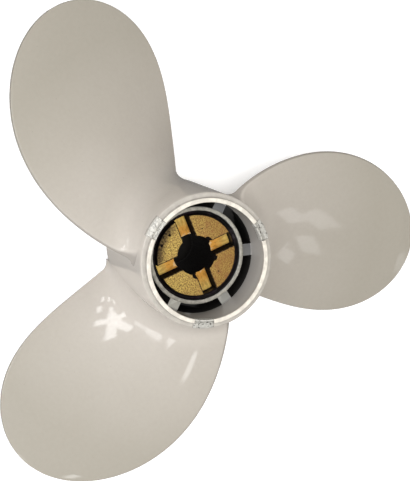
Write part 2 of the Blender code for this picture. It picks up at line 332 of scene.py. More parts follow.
class Formula:
    """A number that a node tree works out at every point, written as plain arithmetic."""

    def __init__(self, tree, source):
        self.tree = tree
        self.source = source

    def work(self, operation, *others):
        """What one math operation makes of this number and others."""
        node = self.tree.nodes.new("ShaderNodeMath")
        node.operation = operation
        for socket, value in zip(node.inputs, (self,) + others):
            feed(self.tree, socket, value)
        return Formula(self.tree, node.outputs[0])

    def __add__(self, other):
        return self.work("ADD", other)

    def __sub__(self, other):
        return self.work("SUBTRACT", other)

    def __mul__(self, other):
        return self.work("MULTIPLY", other)

    def __truediv__(self, other):
        return self.work("DIVIDE", other)

    def __neg__(self):
        return self.work("MULTIPLY", -1.0)

    def root(self):
        """The number's square root."""
        return self.work("MAXIMUM", 0.0).work("SQRT")

    def held(self):
        """The number, kept between 0 and 1."""
        return self.work("MAXIMUM", 0.0).work("MINIMUM", 1.0)

    def rise(self, start, width):
        """0 up to start, 1 from start + width on, and even between them."""
        return ((self - start) / width).held()

    def fall(self, end, width):
        """1 up to end - width, 0 from end on, and even between them."""
        return ((-self + end) / width).held()

    def polynomial(self, terms):
        """The sum of the terms, each times the next power of this number, from the power 0 up."""
        total = self * 0.0 + terms[-1]
        for term in reversed(terms[:-1]):
            total = total * self + term
        return total


def add_node(tree, kind, settings=(), **links):
    """A node of this kind, with its settings made and its inputs linked or set by their names."""
    node = tree.nodes.new(kind)
    for name, value in settings:
        setattr(node, name, value)
    for name, value in links.items():
        feed(tree, node.inputs[name.replace("_", " ")], value)
    return node


def parts_of(tree, vector):
    """The X, Y and Z of a vector as formulas."""
    node = tree.nodes.new("ShaderNodeSeparateXYZ")
    tree.links.new(vector, node.inputs[0])
    return [Formula(tree, socket) for socket in node.outputs]


def place_of(tree, x, y, z):
    """A vector socket from three formulas or numbers."""
    return add_node(tree, "ShaderNodeCombineXYZ", X=x, Y=y, Z=z).outputs[0]


def flare(size, span, bend):
    """How far a blade's foot spreads at this distance from the shaft, for a fillet of this radius."""
    left = (size["Barrel radius"] + bend - span).work("MAXIMUM", 0.0).work("MINIMUM", bend)
    outside = (span - size["Barrel radius"]).work("GREATER_THAN", -1.0 * MM)
    return (bend - (bend * bend - left * left).root()) * outside


def span_share(size, radius):
    """Where a point lies along a blade: 0 near the barrel and 1 at the tip."""
    return (radius / size["Tip radius"] - HUB_SHARE) / (1 - HUB_SHARE)


def blade_blank(tree, size):
    """A blade before it is wrapped: a closed tube laid out straight, with its outline and its thickness."""
    tube = add_node(tree, "GeometryNodeMeshCylinder", [("fill_type", "NGON")],
                    Vertices=BLADE_COLUMNS, Side_Segments=BLADE_ROWS, Radius=1.0, Depth=1.0)
    across, side, along_span = parts_of(tree, tree.nodes.new("GeometryNodeInputPosition").outputs[0])
    share = along_span + 0.5
    fillet_share = FILLET_ROWS / BLADE_ROWS
    in_fillet = (share / fillet_share).work("MINIMUM", 1.0)
    past_fillet = ((share - fillet_share) / (1 - fillet_share)).work("MAXIMUM", 0.0)
    fillet_top = size["Barrel radius"] + size["Fillet radius"]
    radius = (size["Barrel radius"] - SEAM_DEPTH
              + size["Fillet radius"] * (-(in_fillet * (math.pi / 2)).work("COSINE") + 1.0)
              + (size["Tip radius"] * TIP_REACH - fillet_top) * (past_fillet * (math.pi / 2)).work("SINE"))
    radius = radius - share.work("LESS_THAN", 0.5 / BLADE_ROWS) * ROOT_SINK

    t = span_share(size, radius)
    t_outer = t.work("MAXIMUM", 0.0)
    chord = t.polynomial(CHORD) * (-t_outer.work("POWER", CHORD_TIP_POWER) + 1.0).root()
    half = chord * size["Tip radius"] * 0.5
    edge = (half * 0.45).work("MINIMUM", size["Edge thickness"] * 0.5)
    inset = (half * (-across.work("ABSOLUTE") + 1.0) / edge).work("MINIMUM", 1.0)
    rounding = edge * (-((-inset + 1.0) * (-inset + 1.0)) + 1.0).root()
    thinned = (size["Tip thickness"] - size["Root thickness"]) * t_outer.work("POWER", THINNING_POWER)
    thickness = size["Root thickness"] + thinned
    crown = (thickness - size["Edge thickness"]) * (half * 2 / THINNING_CHORD).work("MINIMUM", 1.0)
    back = side.work("GREATER_THAN", 0.0)
    lift = rounding * (back * 2 - 1.0) + crown * (-(across * across) + 1.0) * back
    marked = add_node(tree, "GeometryNodeStoreNamedAttribute", [("data_type", "FLOAT"), ("domain", "POINT")],
                      Geometry=tube.outputs["Mesh"], Name="edge", Value=-inset + 1.0)
    return add_node(tree, "GeometryNodeSetPosition", Geometry=marked.outputs[0],
                    Position=place_of(tree, across * half, lift, radius)).outputs[0]


def with_fillets(tree, size, blank):
    """The blank with its foot spread, most in front, so that it runs into the barrel in a hollow curve."""
    normal_x, normal_y, _ = parts_of(tree, tree.nodes.new("GeometryNodeInputNormal").outputs[0])
    level_size = (normal_x * normal_x + normal_y * normal_y).root().work("MAXIMUM", 0.001)
    across, _, span = parts_of(tree, tree.nodes.new("GeometryNodeInputPosition").outputs[0])
    off_edge = ((across / (size["Tip radius"] * (CHORD[0] / 2)) + 1.0) / 0.8).held()
    in_front = normal_y.work("GREATER_THAN", 0.0) * off_edge
    front_bend = size["Fillet radius"] + (size["Front fillet"] - size["Fillet radius"]) * in_front
    side_flare = flare(size, span, size["Fillet radius"])
    front_flare = flare(size, span, front_bend)
    spread = place_of(tree, normal_x / level_size * side_flare, normal_y / level_size * front_flare, 0.0)
    return add_node(tree, "GeometryNodeSetPosition", Geometry=blank, Offset=spread).outputs[0]


def on_screw_line(tree, size, blank):
    """The blank wrapped round the shaft on its screw line, and rounded off at the barrel's two ends."""
    along, lift, radius = parts_of(tree, tree.nodes.new("GeometryNodeInputPosition").outputs[0])
    t = span_share(size, radius)
    pitch = size["Tip radius"] * t.polynomial(PITCH)
    slope = pitch.work("ARCTAN2", radius * (2 * math.pi))
    length = along + size["Tip radius"] * t.polynomial(SKEW)
    turn = (length * slope.work("COSINE") - lift * slope.work("SINE")) / radius + size["First blade"]
    height = (size["Tip radius"] * t.polynomial(RAKE) + length * slope.work("SINE")
              + lift * slope.work("COSINE"))
    above = height - size["Rear face"]
    rounded = (above + (above * above + size["Rear round"] * size["Rear round"]).root()) * 0.5
    below = size["Front limit"] - size["Rear face"] - rounded
    rounded = (rounded + below
               - (below + (below * below + size["Front round"] * size["Front round"]).root()) * 0.5)
    wrapped = place_of(tree, radius * turn.work("COSINE"), radius * turn.work("SINE"),
                       size["Rear face"] + rounded)
    return add_node(tree, "GeometryNodeSetPosition", Geometry=blank, Position=wrapped).outputs[0]


def around_shaft(tree, geometry, count, first=0.0):
    """Copies of a shape, turned about the shaft by equal steps."""
    points = add_node(tree, "GeometryNodePoints", Count=count)
    index = Formula(tree, tree.nodes.new("GeometryNodeInputIndex").outputs[0])
    turned_by = place_of(tree, 0.0, 0.0, index * (2 * math.pi / count) + first)
    copies = add_node(tree, "GeometryNodeInstanceOnPoints", Points=points.outputs[0], Instance=geometry,
                      Rotation=turned_by)
    return add_node(tree, "GeometryNodeRealizeInstances", Geometry=copies.outputs[0]).outputs[0]


def rib_mesh(tree, size):
    """One rib, a bar between the sleeve and the barrel that reaches a little into both."""
    inner = SLEEVE_RADIUS - RIB_INTO_SLEEVE
    outer = PASSAGE_RADIUS + RIB_INTO_BARREL
    bar_size = place_of(tree, outer - inner, size["Rib width"], size["Rib front"] - size["Rib rear"])
    block = add_node(tree, "GeometryNodeMeshCube", Size=bar_size)
    middle = (size["Rib front"] + size["Rib rear"]) * 0.5
    moved = add_node(tree, "GeometryNodeTransform", Geometry=block.outputs[0],
                     Translation=place_of(tree, (outer + inner) / 2, 0.0, middle))
    return moved.outputs[0]


def casting_tree(material):
    """Casts the blades and ribs onto the hub: all of it comes out as one closed skin."""
    tree = bpy.data.node_groups.new("cast_blades_and_ribs", "GeometryNodeTree")
    tree.interface.new_socket("Geometry", in_out="INPUT", socket_type="NodeSocketGeometry")
    tree.interface.new_socket("Geometry", in_out="OUTPUT", socket_type="NodeSocketGeometry")
    for name in BLADE_SIZES:
        tree.interface.new_socket(name, in_out="INPUT", socket_type="NodeSocketFloat")
    given = tree.nodes.new("NodeGroupInput")
    size = {name: Formula(tree, given.outputs[name]) for name in BLADE_SIZES}
    blade = on_screw_line(tree, size, with_fillets(tree, size, blade_blank(tree, size)))
    blades = around_shaft(tree, blade, BLADE_COUNT)
    ribs = around_shaft(tree, rib_mesh(tree, size), RIB_COUNT, size["First rib"])
    union = add_node(tree, "GeometryNodeMeshBoolean", [("operation", "UNION"), ("solver", "MANIFOLD")])
    for geometry in (given.outputs["Geometry"], ribs, blades):
        tree.links.new(geometry, union.inputs["Mesh 2"])
    angle = Formula(tree, tree.nodes.new("GeometryNodeInputMeshEdgeAngle").outputs["Unsigned Angle"])
    rounded = add_node(tree, "GeometryNodeSetShadeSmooth", Geometry=union.outputs[0], Shade_Smooth=True)
    smooth = add_node(tree, "GeometryNodeSetShadeSmooth", [("domain", "EDGE")], Geometry=rounded.outputs[0],
                      Shade_Smooth=angle.work("LESS_THAN", CREASE))
    painted = add_node(tree, "GeometryNodeSetMaterial", Geometry=smooth.outputs[0], Material=material)
    end = tree.nodes.new("NodeGroupOutput")
    tree.links.new(painted.outputs[0], end.inputs[0])
    return tree


def run_tree(piece, tree, values):
    """Runs a node tree on a piece and keeps what it makes as the piece's own plain mesh."""
    modifier = piece.modifiers.new(tree.name, "NODES")
    modifier.node_group = tree
    for socket in tree.interface.items_tree:
        if socket.name in values and socket.in_out == "INPUT":
            modifier[socket.identifier] = values[socket.name]
    view_layer = bpy.context.view_layer
    view_layer.update()
    made = bpy.data.meshes.new_from_object(piece.evaluated_get(view_layer.depsgraph))
    piece.modifiers.remove(modifier)
    piece.data = made


# The enamel over the whole casting: gloss warm light grey, a darker, cooler grey in the recess, worn to a
# cream primer on the rim, and rough where it runs over the broken gate stubs. Painted light and shade are
# laid into its
# colour too: paler round the hub, and darker towards the tips, on the shoulder, in creases, along edges,
# round the stubs and deep in the recess.
PAINT = (0.44, 0.401, 0.357, 1)
PAINT_DEEPER = (0.38, 0.345, 0.295, 1)
PAINT_SHADED_AT_TIPS = (0.29, 0.265, 0.214, 1)
PAINT_LIT_ROUND_HUB = (0.475, 0.433, 0.382, 1)
RECESS_GREY = (0.34, 0.33, 0.315, 1)
RIM_CREAM = (0.70, 0.655, 0.565, 1)
SHOULDER_SHADE_GREY = (0.32, 0.30, 0.265, 1)
STUB_WHITE = (0.66, 0.64, 0.58, 1)
STUB_GREY = (0.40, 0.39, 0.355, 1)
LIP_DARK = (0.08, 0.08, 0.065, 1)
LIP_PALE = (0.52, 0.49, 0.42, 1)
RIB_SHADED = (0.13, 0.13, 0.13, 1)
RIB_LIT = (0.46, 0.45, 0.40, 1)
# Dirt, and also painted shade in creases, along edges and round the stubs.
DIRT_AND_SHADE = (0.035, 0.03, 0.025, 1)
# Soot, and also painted shade deep in the recess, in the passages and on the floor under the hub.
SOOT_AND_SHADE_BLACK = (0.012, 0.011, 0.010, 1)
SOOT_AND_SHADE_CLIMB = 9.0 * MM
LIT_SIDE = (-0.34, 0.94)
CLEAN_SIDE = (0.82, 0.57)
SOOTY_SIDE = (-0.72, 0.69)


def new_material(name):
    """A node material, its tree, its shader and the place of each point on the object."""
    material = bpy.data.materials.new(name)
    material.use_nodes = True
    tree = material.node_tree
    place = tree.nodes.new("ShaderNodeTexCoord").outputs["Object"]
    return material, tree, tree.nodes["Principled BSDF"], place


def cloud(tree, place, size, detail=2.0):
    """Soft noise from 0 to 1, with lumps of about this size."""
    node = add_node(tree, "ShaderNodeTexNoise", Vector=place, Scale=1.0 / size, Detail=detail)
    return Formula(tree, node.outputs[0])


def stored(tree, name):
    """A number that the mesh holds at its points."""
    return Formula(tree, add_node(tree, "ShaderNodeAttribute", [("attribute_name", name)]).outputs["Fac"])


def blended(tree, share, first, second, way="MIX"):
    """The second colour laid over the first by a share from 0 to 1."""
    node = add_node(tree, "ShaderNodeMix", [("data_type", "RGBA"), ("blend_type", way)])
    for index, value in ((0, share), (6, first), (7, second)):
        feed(tree, node.inputs[index], value)
    return node.outputs[2]


def from_shaft(tree, place):
    """How far a point lies from the shaft."""
    x, y, _ = parts_of(tree, place)
    return (x * x + y * y).root()


def to_side(tree, place, side, reach):
    """How far a point lies towards one side of the shaft, as a share of a reach."""
    x, y, _ = parts_of(tree, place)
    return (x * side[0] + y * side[1]) / reach


def roughen(tree, shader, height, depth, strength):
    """Bumps a surface by a height, 0 to 1, times a depth in metres."""
    bump = add_node(tree, "ShaderNodeBump", Height=height, Distance=depth, Strength=strength)
    tree.links.new(bump.outputs[0], shader.inputs["Normal"])


def coat_colour(tree, place, out):
    """The whole coat: cloudy, darker towards the blades' tips as painted shade, paler round the hub as
    painted light, and finely mottled.
    """
    colour = blended(tree, cloud(tree, place, 28 * MM), PAINT, PAINT_DEEPER)
    # Painted shade: the coat darkens towards the tips, where less light reaches.
    colour = blended(tree, out.rise(32 * MM, 46 * MM) * 0.8, colour, PAINT_SHADED_AT_TIPS)
    # Painted light: the coat is paler round the hub.
    lit_round_hub = out.fall(35 * MM, 8 * MM) * out.rise(RIM_RADIUS, 0.2 * MM)
    colour = blended(tree, lit_round_hub * 0.8, colour, PAINT_LIT_ROUND_HUB)
    mottle = (cloud(tree, place, 1.4 * MM) - 0.5) * 0.08 + 0.5
    return blended(tree, 0.5, colour, place_of(tree, mottle, mottle, mottle), "OVERLAY")


def recess_colour(tree, place, out, inside, lip, colour):
    """A darker, cooler grey in the recess, scuffed on the sleeve's lip, and painted light and shade on the
    ribs, lit on one side.
    """
    z = parts_of(tree, place)[2]
    colour = blended(tree, inside, colour, RECESS_GREY)
    scuffed = cloud(tree, place, 1.2 * MM, 3.0)
    colour = blended(tree, lip, colour, blended(tree, scuffed, LIP_DARK, LIP_PALE))
    on_rib = z.rise(0.1 * MM, 0.05 * MM) * z.fall(PASSAGE_FRONT + 0.2 * MM, 0.1 * MM)
    on_rib = on_rib * inside * (-lip + 1.0) * out.fall(MOUTH_RADIUS - 0.2 * MM, 0.1 * MM)
    # Painted light and shade: the ribs' fronts are pale on one side and dark on the other.
    lit = (to_side(tree, place, LIT_SIDE, SLEEVE_RADIUS) * 0.5 + 0.5).held()
    return blended(tree, on_rib, colour, blended(tree, lit, RIB_SHADED, RIB_LIT))


def rim_colour(tree, place, out, colour):
    """Cream primer on the worn rim, painted shade on the shoulder beside it, and a painted dark line of
    shade in the crease between the two.
    """
    z = parts_of(tree, place)[2]
    rim = ((z - BARREL_FRONT + 0.4 * MM) / (0.2 * MM) + (cloud(tree, place, 1.5 * MM) - 0.5)).held()
    worn = cloud(tree, place, 2.2 * MM, 3.0).rise(0.42, 0.2)
    colour = blended(tree, rim * (worn * 0.45 + 0.5), colour, RIM_CREAM)
    shoulder = z.rise(SHOULDER_HEIGHT - 0.3 * MM, 0.2 * MM) * (-rim + 1.0)
    # Painted shade: the shoulder is greyed down.
    colour = blended(tree, shoulder * 0.6, colour, SHOULDER_SHADE_GREY)
    colour = blended(tree, shoulder * worn * 0.15, colour, RIM_CREAM)
    # Painted shade: a dark line in the crease at the rim's foot.
    crease_shade = (out - RIM_RADIUS - RIM_FOOT).work("ABSOLUTE").fall(0.25 * MM, 0.25 * MM)
    crease_shade = crease_shade * z.fall(SHOULDER_HEIGHT + 0.25 * MM, 0.1 * MM)
    return blended(tree, crease_shade * (cloud(tree, place, 3 * MM) - 0.2).held(), colour, DIRT_AND_SHADE)


def stub_colour(tree, place, broken, pores, colour):
    """Chalky metal on the broken stubs, cleaner on one side, with dark pores and a painted dark line of
    shade round them.
    """
    cleaner = to_side(tree, place, CLEAN_SIDE, BARREL_RADIUS)
    white = blended(tree, (cleaner * 0.6 + 0.5).held(), STUB_GREY, STUB_WHITE)
    chalk = cloud(tree, place, 0.8 * MM, 3.0).rise(0.4, 0.2)
    colour = blended(tree, broken * 0.9, colour, blended(tree, chalk, STUB_GREY, white))
    colour = blended(tree, pores * (-cleaner * 0.3 + 0.65), colour, DIRT_AND_SHADE)
    # Painted shade: a dark line where each stub's edge steps down.
    stub_edge_shade = (stored(tree, "broken") - 0.5).work("ABSOLUTE").fall(0.4, 0.4)
    return blended(tree, stub_edge_shade * (cloud(tree, place, 0.8 * MM) * 1.6 - 0.3).held(), colour, DIRT_AND_SHADE)


def soot_colour(tree, place, out, inside, lip, passage, colour):
    """Exhaust soot and painted shade: darker up the foot of the recess's wall, most on one side, and black
    all through the passages.
    """
    z = parts_of(tree, place)[2]
    climb = z.fall(PASSAGE_FRONT + SOOT_AND_SHADE_CLIMB, SOOT_AND_SHADE_CLIMB)
    sooty_side = (to_side(tree, place, SOOTY_SIDE, MOUTH_RADIUS) * 0.45 + 0.55).held()
    # Soot and painted shade: darker the deeper the wall lies in the recess.
    soot_and_shade = climb * climb * (cloud(tree, place, 6 * MM) * 0.6 + 0.3) * sooty_side * inside * (-lip + 1.0)
    on_wall = out.rise(SLEEVE_RADIUS + 2.4 * MM, 1.0 * MM)
    colour = blended(tree, soot_and_shade * on_wall, colour, SOOT_AND_SHADE_BLACK)
    # Soot and painted shade: the passages are painted black, as deep holes look.
    return blended(tree, passage * 0.97, colour, SOOT_AND_SHADE_BLACK)


def enamel_material():
    """The coat with its wear, dirt and painted shade, glossy where it is whole, and matt on the stubs and in
    the recess.
    """
    material, tree, shader, place = new_material("warm_grey_enamel")
    z = parts_of(tree, place)[2]
    out = from_shaft(tree, place)
    inside = out.fall(MOUTH_RADIUS + 0.1 * MM, 0.2 * MM)
    lip = z.rise(0.25 * MM, 0.1 * MM) * out.fall(SLEEVE_RADIUS + 0.1 * MM, 0.1 * MM)
    passage = z.fall(PASSAGE_FRONT - 0.05 * MM, 0.1 * MM)
    passage = passage * out.fall(PASSAGE_REAR_RADIUS + 0.05 * MM, 0.05 * MM)
    broken = stored(tree, "broken").held()
    pores = cloud(tree, place, 0.75 * MM, 4.0).rise(0.585, 0.05) * broken

    colour = coat_colour(tree, place, out)
    colour = recess_colour(tree, place, out, inside, lip, colour)
    colour = rim_colour(tree, place, out, colour)
    colour = stub_colour(tree, place, broken, pores, colour)
    # Partly painted shade: the blades' edges are darkened, with some dirt.
    edge = stored(tree, "edge").rise(0.45, 0.4)
    colour = blended(tree, edge * 0.35, colour, DIRT_AND_SHADE)
    speck = cloud(tree, place, 0.8 * MM, 0.0).rise(0.84, 0.03)
    colour = blended(tree, speck * 0.1, colour, DIRT_AND_SHADE)
    colour = soot_colour(tree, place, out, inside, lip, passage, colour)
    feed(tree, shader.inputs["Base Color"], colour)

    matt = (broken + inside * 0.6 + passage).held()
    feed(tree, shader.inputs["Roughness"], cloud(tree, place, 6 * MM, 3.0) * 0.10 + 0.35 + matt * 0.3)
    feed(tree, shader.inputs["Coat Weight"], -matt * 0.8 + 1.0)
    shader.inputs["Specular IOR Level"].default_value = 0.2
    shader.inputs["Coat Roughness"].default_value = 0.07
    peel = cloud(tree, place, 9 * MM, 0.0) * 0.5 + cloud(tree, place, 3 * MM, 0.0) * 0.04
    roughen(tree, shader, peel - broken * pores * 4.0, 0.04 * MM, 0.6)
    return material


run_tree(casting, casting_tree(enamel_material()), BLADE_SIZES)
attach(casting, "root")
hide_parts("hub_barrel", "inner_sleeve", *["rib_%d" % i for i in range(1, 7)],
            *["gate_stub_%d" % i for i in range(1, 4)], *["blade_%d" % i for i in range(1, 4)])


# The cushion: black rubber moulded between the sleeve and the bush, with a thin skirt round the bush's head.
# Its front lip is uneven and wet with oil.
rubber_low, rubber_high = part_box("rubber_ring")
BUSH_HEAD_REAR = -9.5 * MM
BUSH_BODY_RADIUS = 10.6 * MM
bush_low, bush_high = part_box("drive_bush")
BUSH_RADIUS = bush_high.x
RUBBER_GAP = 0.05 * MM
RUBBER_OUTER = SLEEVE_BORE - RUBBER_GAP
SKIRT_INNER = BUSH_RADIUS + RUBBER_GAP
RUBBER_COLUMNS = 240
RUBBER_CREASE = math.radians(40)
RUBBER_LUMPS = 0.35
RUBBER_SINK = 0.25
RUBBER_SAG = 0.45
RUBBER_DRY = (0.006, 0.005, 0.005, 1)
RUBBER_WET = (0.014, 0.008, 0.011, 1)


def rubber_profile():
    """The cushion's section, up its outside, over its lip and down to its rear end."""
    front = rubber_high.z
    rear = rubber_low.z
    body = BUSH_BODY_RADIUS + RUBBER_GAP
    step = BUSH_HEAD_REAR - RUBBER_GAP
    profile = [(RUBBER_OUTER, rear)] + line((RUBBER_OUTER, rear), (RUBBER_OUTER, front), 6)
    profile += [(RUBBER_OUTER, front - 0.2 * MM)]
    profile += [(RUBBER_OUTER + (SKIRT_INNER - RUBBER_OUTER) * i / 8, front) for i in range(9)]
    profile += line((SKIRT_INNER, front), (SKIRT_INNER, step), 8) + [(SKIRT_INNER, step), (body, step)]
    profile += line((body, step), (body, rear), 5) + [(body, rear)]
    return profile


def lip_shape(radius, height, turn):
    """The front lip sags between its two walls and carries low lumps of flash."""
    near_front = held((height - rubber_high.z + 1.0 * MM) / (0.8 * MM))
    between = held((radius - SKIRT_INNER) / (RUBBER_OUTER - SKIRT_INNER))
    place = Vector(polar(radius, turn, 0)) / MM
    lumps = RUBBER_LUMPS * noise.fractal(place * 0.9, 0.7, 2.0, 3) - RUBBER_SINK
    sag = RUBBER_SAG * 4 * between * (1 - between)
    height += MM * near_front * min(lumps - sag, 0.0)
    return radius, height


def rubber_material():
    """Black rubber with patches of oil on it."""
    material, tree, shader, place = new_material("oily_black_rubber")
    wet = cloud(tree, place, 3 * MM, 3.0).rise(0.45, 0.2)
    feed(tree, shader.inputs["Base Color"], blended(tree, wet, RUBBER_DRY, RUBBER_WET))
    feed(tree, shader.inputs["Roughness"], -wet * 0.3 + 0.6)
    shader.inputs["Specular IOR Level"].default_value = 0.25
    roughen(tree, shader, cloud(tree, place, 0.5 * MM, 3.0), 0.1 * MM, 0.5)
    return material


cushion = new_piece("rubber_cushion", *turned(rubber_profile(), RUBBER_COLUMNS, lip_shape))
cushion.data.shade_smooth()
cushion.data.set_sharp_from_angle(angle=RUBBER_CREASE)
cushion.data.materials.append(rubber_material())
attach(cushion, "root")
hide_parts("rubber_ring")


# The drive bush: sintered bronze, pressed to shape, with a plain bore for the shaft and four slots in its
# face for the drive pin. The pin has rubbed the slots' floors to copper, and oil and painted shade blacken
# their walls, the bore and the chips.
BUSH_FRONT = bush_high.z
BUSH_REAR = bush_low.z
BORE_RADIUS = 6.9 * MM
SLOT_HALF = 2.45 * MM
SLOT_FLOOR = -4.6 * MM
PIN_REACH = 11.0 * MM
BUSH_EDGE = 0.3 * MM
SECTOR_STEPS = 52
FLOOR_STEPS = 18
RADIUS_STEPS = 30
WALL_STEPS = 14
MERGE_DISTANCE = 0.002 * MM
SMOOTHINGS = 3
GRAIN_SIZE = 0.45 * MM
GRAIN_HEIGHT = 0.035
GRAIN_SINK = 0.03
SHADED_BROWN_SIDE = (-0.25, -0.9)
BRONZE_DARK = (0.19, 0.11, 0.03, 1)
BRONZE_BRIGHT = (0.74, 0.53, 0.135, 1)
BRONZE_SHADE_BROWN = (0.24, 0.105, 0.024, 1)
RING_BROWN = (0.20, 0.11, 0.04, 1)
STAIN_BROWN = (0.36, 0.20, 0.06, 1)
RUST = (0.26, 0.085, 0.035, 1)
PORE_BLACK = (0.05, 0.03, 0.012, 1)
FLOOR_GOLD = (0.98, 0.67, 0.17, 1)
PIN_COPPER = (0.72, 0.29, 0.03, 1)
SCRATCH_AND_SHADE_BROWN = (0.26, 0.11, 0.02, 1)
BORE_EDGE_HIGHLIGHT = (0.75, 0.55, 0.30, 1)
OIL_AND_SHADE_BROWN = (0.10, 0.06, 0.025, 1)
OIL_AND_SHADE_BLACK = (0.006, 0.0045, 0.004, 1)

# The chips at the bore and the pits of the face: distance from the shaft in millimetres, turn in degrees,
# then width and depth in millimetres.
CHIPS = ((6.6, 284, 1.0, 1.0), (6.7, 293, 1.1, 1.2), (6.9, 301, 0.9, 0.6), (6.8, 158, 1.3, 1.0),
         (6.7, 238, 1.0, 1.2), (12.25, 30, 0.4, 0.6), (10.2, 212, 0.3, 0.2), (13.2, 50, 0.5, 0.3),
         (9.6, 325, 0.25, 0.2), (11.8, 128, 0.25, 0.2))


def spaced(start, end, steps):
    """Values from start to end, with close ones at either end, which turn round an edge there."""
    close = BUSH_EDGE if end > start else -BUSH_EDGE
    inner = [start + close + (end - start - 2 * close) * i / steps for i in range(steps + 1)]
    return ([start, start + close / 3, start + 2 * close / 3] + inner
            + [end - 2 * close / 3, end - close / 3, end])


def face_turns(radius):
    """Turns of a sector's points at this radius, from its slot's wall to the next slot's."""
    wall = math.asin(SLOT_HALF / radius)
    return [way / radius for way in spaced(wall * radius, (math.pi / 2 - wall) * radius, SECTOR_STEPS)]


def floor_turns(radius):
    """Turns of a slot floor's points at this radius."""
    return [math.asin(across / radius) for across in spaced(-SLOT_HALF, SLOT_HALF, FLOOR_STEPS)]


def sheet_of(rows):
    """Points and faces of a sheet that is given as rows of points."""
    width = len(rows[0])
    points = [point for row in rows for point in row]
    faces = [(i * width + j, i * width + j + 1, (i + 1) * width + j + 1, (i + 1) * width + j)
             for i in range(len(rows) - 1) for j in range(width - 1)]
    return points, faces


def bush_quarter(quarter):
    """A quarter of the bush: one slot, the sector beside it, and the walls and body below them."""
    first = quarter * math.pi / 2
    radii = spaced(BORE_RADIUS, BUSH_RADIUS, RADIUS_STEPS)
    heights = spaced(BUSH_FRONT, SLOT_FLOOR, WALL_STEPS)
    sector = [[polar(r, first + turn, BUSH_FRONT) for turn in face_turns(r)] for r in radii]
    floor = [[polar(r, first + turn, SLOT_FLOOR) for turn in floor_turns(r)] for r in radii]
    sheets = [sector, floor]
    for side in (-1, 1):
        wall = [(r, first + side * math.asin(SLOT_HALF / r)) for r in radii]
        sheets.append([[polar(r, turn, z) for z in heights] for r, turn in wall])
    for r in (BORE_RADIUS, BUSH_RADIUS):
        sheets.append([[polar(r, first + turn, z) for turn in face_turns(r)] for z in heights])
    corners = [(BUSH_RADIUS, SLOT_FLOOR), (BUSH_RADIUS, BUSH_HEAD_REAR), (BUSH_BODY_RADIUS, BUSH_HEAD_REAR),
               (BUSH_BODY_RADIUS, BUSH_REAR), (BORE_RADIUS, BUSH_REAR), (BORE_RADIUS, SLOT_FLOOR)]
    body = [corners[0]]
    for here, there in zip(corners, corners[1:]):
        body += [(here[0] + (there[0] - here[0]) * share, here[1] + (there[1] - here[1]) * share)
                 for share in (0.04, 0.35, 0.65, 0.96, 1.0)]
    sheets.append([[polar(r, first + turn, z) for turn in floor_turns(r) + face_turns(r)[1:]]
                   for r, z in body])
    return join(*[sheet_of(rows) for rows in sheets])


def chip_depth(place):
    """How deep the chips and pits of the bush's face reach at this place, in metres."""
    depth = 0.0
    for radius, turn, width, deep in CHIPS:
        away = (place.xy - Vector(polar(radius * MM, math.radians(turn), 0)).xy).length / (width * MM)
        ragged = 0.35 * noise.noise(place / (0.35 * MM))
        depth = max(depth, deep * MM * held(1.3 - away ** 2 + ragged) if away < 1.6 else 0.0)
    return depth


def oil_and_shade_at(place):
    """Above 1 where oil and painted shade blacken the bush, 0 where its metal is clean."""
    radius = place.xy.length
    turn = math.degrees(math.atan2(place.y, place.x)) % 360
    beside = min(abs(place.x), abs(place.y))
    # Oil and painted shade: the walls, the bore and the body below the head are blackened.
    if place.z < BUSH_HEAD_REAR:
        return 0.25 if radius > BORE_RADIUS + 0.6 * MM else 1.5
    on_floor = place.z < SLOT_FLOOR + 0.2 * MM and beside < SLOT_HALF - 0.25 * MM
    if place.z < BUSH_FRONT - 0.35 * MM and not (on_floor and radius > BORE_RADIUS + 0.1 * MM):
        return 1.5
    # Painted shadow on the outer part of one sector of the face.
    face_shadow = held((radius - 10.4 * MM) / (3.0 * MM)) * held((turn - 8) / 16) * held((86 - turn) / 14)
    # Painted shade at the face's outer rim, beside the dark gap.
    rim = held((radius - 14.0 * MM) / (0.3 * MM))
    # Painted shadow along the slot edges, and the chips blackened as painted shade.
    slot_edge_shadow = held((SLOT_HALF + 0.5 * MM - beside) / (0.25 * MM)) * (beside > SLOT_HALF - 0.1 * MM)
    return max(0.7 * face_shadow, 1.4 * rim, 0.8 * slot_edge_shadow, 1.5 * held(chip_depth(place) / (0.3 * MM)))


def bush_mesh():
    """The bush's skin, its edges softened, its face roughened and chipped."""
    points, faces = join(*[bush_quarter(quarter) for quarter in range(4)])
    piece = new_piece("bronze_drive_bush", points, faces)
    builder = bmesh.new()
    builder.from_mesh(piece.data)
    bmesh.ops.remove_doubles(builder, verts=builder.verts, dist=MERGE_DISTANCE)
    bmesh.ops.recalc_face_normals(builder, faces=builder.faces)
    for _ in range(SMOOTHINGS):
        bmesh.ops.smooth_vert(builder, verts=builder.verts, factor=0.5, use_axis_x=True, use_axis_y=True,
                              use_axis_z=True)
    builder.normal_update()
    for vert in builder.verts:
        grain = GRAIN_HEIGHT * noise.fractal(vert.co / GRAIN_SIZE, 0.8, 2.0, 3) - GRAIN_SINK
        vert.co += vert.normal * (grain * MM)
        squeeze = held(1 + (vert.co.z - BUSH_FRONT) / (2.5 * MM))
        vert.co.z -= chip_depth(vert.co) * squeeze
    builder.to_mesh(piece.data)
    builder.free()
    mark(piece, "oil", oil_and_shade_at)
    piece.data.shade_smooth()
    return piece


